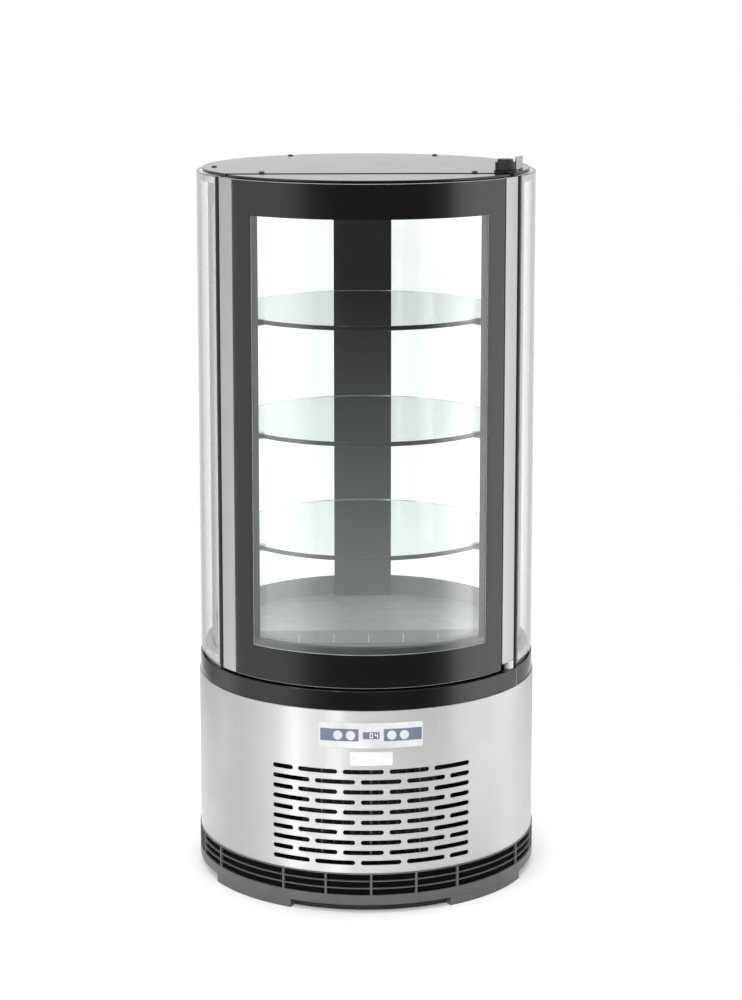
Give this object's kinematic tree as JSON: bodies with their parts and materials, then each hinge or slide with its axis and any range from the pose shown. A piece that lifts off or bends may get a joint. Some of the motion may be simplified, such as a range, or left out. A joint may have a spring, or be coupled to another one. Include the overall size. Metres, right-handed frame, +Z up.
{
  "type": "round refrigerated cake display case",
  "caption": "Round upright refrigerated display case with curved double glazing, a hinged curved glass door, round glass shelves and a steel machine base.",
  "frame": {"origin": "on the floor plane, at the centre of the round base", "axes": "+Z up along the case's axis, -Y out of the front where the door and control panel are, +X to the right as seen from the front, where the hinge is"},
  "size_m": [0.465, 0.465, 0.986],
  "materials": {
    "stainless": "brushed stainless steel",
    "aluminium": "satin anodised aluminium",
    "black_gloss": "black, glossy",
    "black_plastic": "black, satin",
    "grey_plastic": "dark grey, satin",
    "white_plastic": "white, satin",
    "deck_grey": "light grey paint",
    "foam": "insulating foam with a moulded skin",
    "glass": "clear tempered glass",
    "rubber": "soft black rubber",
    "copper": "drawn copper tube",
    "galvanised": "galvanised sheet",
    "black_enamel": "black enamel",
    "board_green": "green circuit board",
    "display_tint": "tinted window",
    "light_diffuser": "milky white diffuser"
  },
  "bodies": {
    "case": {"badge_plate": "white_plastic", "base_rim": "black_gloss", "base_shell": "stainless", "cable_gland": "rubber", "chassis_pan": "galvanised", "column_cover": "black_plastic", "compressor": "black_enamel", "condenser": "galvanised", "condenser_fan_frame": "black_plastic", "control_board": "board_green", "control_fascia": "white_plastic", "deck_liner": "grey_plastic", "deck_plate": "deck_grey", "discharge_pipe": "copper", "display_window": "display_tint", "evaporator": "aluminium", "evaporator_fan_frame": "black_plastic", "hinge_knob": "black_plastic", "hinge_pin_lower": "aluminium", "hinge_plate_top": "stainless", "insulation_tub": "foam", "light_bar": "light_diffuser", "mullion_left": "black_plastic", "mullion_right": "black_plastic", "plinth": "grey_plastic", "rear_post": "black_plastic", "roof_panel": "white_plastic", "shelf_lower": "glass", "shelf_middle": "glass", "shelf_rail_left": "grey_plastic", "shelf_rail_right": "grey_plastic", "shelf_upper": "glass", "side_glass_left_inner": "glass", "side_glass_left_outer": "glass", "side_glass_right_inner": "glass", "side_glass_right_outer": "glass", "side_spacer_left": "aluminium", "side_spacer_right": "aluminium", "suction_pipe": "copper", "top_plate": "black_gloss", "top_screw_1": "black_enamel", "top_screw_2": "black_enamel", "top_screw_3": "black_enamel", "top_screw_4": "black_enamel", "top_screw_5": "black_enamel", "top_screw_6": "black_enamel"},
    "door": {"door_glass_outer": "glass", "door_glass_inner": "glass", "door_spacer": "aluminium", "door_frame": "black_plastic", "door_stile_handle": "aluminium", "door_stile_hinge": "aluminium", "door_top_cap": "black_gloss", "door_gasket": "rubber"},
    "button_1": {"button_1": "white_plastic"},
    "button_2": {"button_2": "white_plastic"},
    "button_3": {"button_3": "white_plastic"},
    "button_4": {"button_4": "white_plastic"},
    "condenser_blade": {"condenser_fan_blade": "black_plastic"},
    "evaporator_blade": {"evaporator_fan_blade": "black_plastic"}
  },
  "joints": [
    {"name": "door_hinge", "type": "hinge", "parent": "case", "child": "door", "pos_m": [0.188, -0.121, 0.3], "axis": [0, 0, 1], "range_deg": [0, 100]},
    {"name": "button_1_press", "type": "slide", "parent": "case", "child": "button_1", "axis": [0.1881, 0.9822, 0], "range_m": [0, 0.0008], "stiffness_N_per_m": 400, "springref_m": -0.0005},
    {"name": "button_2_press", "type": "slide", "parent": "case", "child": "button_2", "axis": [0.1166, 0.9932, 0], "range_m": [0, 0.0008], "stiffness_N_per_m": 400, "springref_m": -0.0005},
    {"name": "button_3_press", "type": "slide", "parent": "case", "child": "button_3", "axis": [-0.1166, 0.9932, 0], "range_m": [0, 0.0008], "stiffness_N_per_m": 400, "springref_m": -0.0005},
    {"name": "button_4_press", "type": "slide", "parent": "case", "child": "button_4", "axis": [-0.1881, 0.9822, 0], "range_m": [0, 0.0008], "stiffness_N_per_m": 400, "springref_m": -0.0005},
    {"name": "condenser_fan_spin", "type": "hinge", "parent": "case", "child": "condenser_blade", "pos_m": [0, -0.1597, 0.10345], "axis": [0, -1, 0], "continuous": true},
    {"name": "evaporator_fan_spin", "type": "hinge", "parent": "case", "child": "evaporator_blade", "pos_m": [0, 0.1188, 0.2833], "axis": [0, 0, 1], "continuous": true}
  ]
}
